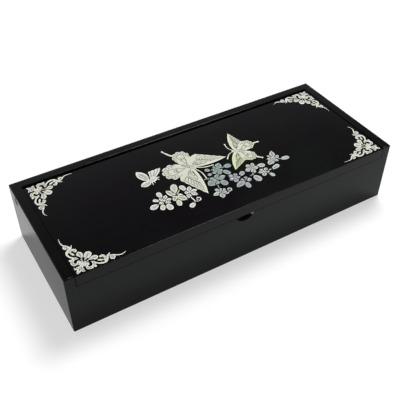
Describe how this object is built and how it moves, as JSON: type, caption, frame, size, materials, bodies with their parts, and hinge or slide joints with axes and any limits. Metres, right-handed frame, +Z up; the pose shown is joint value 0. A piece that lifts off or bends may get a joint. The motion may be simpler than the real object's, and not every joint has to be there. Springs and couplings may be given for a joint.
{
  "type": "pen box",
  "caption": "Long lacquered wooden pen box with a drop-in lid on hidden hinge pins, inlaid with shell butterflies, blossom sprays and corner scrolls.",
  "frame": {"origin": "middle of the underside, on the surface that the box stands on", "axes": "+X along the box to the right, +Y from the front with the nail notch to the hinge side, +Z up"},
  "size_m": [0.24, 0.0944, 0.046],
  "materials": {
    "black_lacquer": "black lacquer on wood, satin gloss",
    "felt": "short dense felt",
    "pin_steel": "plain drawn steel",
    "shell_cream": "polished cream shell",
    "shell_ivory": "polished yellow-green shell",
    "shell_white": "polished white shell",
    "shell_teal": "polished blue-green shell",
    "shell_lilac": "polished lilac shell",
    "shell_silver": "polished silver shell"
  },
  "bodies": {
    "case": {"bottom_panel": "black_lacquer", "front_wall": "black_lacquer", "back_wall": "black_lacquer", "left_end_wall": "black_lacquer", "right_end_wall": "black_lacquer", "felt_pad": "felt", "left_hinge_pin": "pin_steel", "right_hinge_pin": "pin_steel", "left_pin_plug": "black_lacquer", "right_pin_plug": "black_lacquer"},
    "lid": {"lid_board": "black_lacquer", "corner_scroll_front_left": "shell_cream", "corner_scroll_front_right": "shell_cream", "corner_scroll_back_right": "shell_cream", "corner_scroll_back_left": "shell_cream", "large_butterfly": "shell_cream", "medium_butterfly": "shell_ivory", "small_butterfly": "shell_white", "left_spray_blossom_outer": "shell_white", "left_spray_blossom_middle": "shell_cream", "left_spray_blossom_inner": "shell_white", "right_spray_blossom_upper": "shell_teal", "right_spray_blossom_lower": "shell_teal", "right_spray_blossom_star": "shell_silver", "right_spray_blossom_lilac": "shell_lilac", "right_spray_blossom_long": "shell_lilac", "right_spray_blossom_round": "shell_silver", "right_spray_blossom_low": "shell_silver", "right_spray_blossom_end": "shell_silver", "left_spray_leaf": "shell_white", "right_spray_leaf": "shell_silver"}
  },
  "joints": [
    {"name": "lid_hinge", "type": "hinge", "parent": "case", "child": "lid", "pos_m": [0, 0.03405, 0.0412], "axis": [-1, 0, 0], "range_deg": [0, 108]}
  ]
}
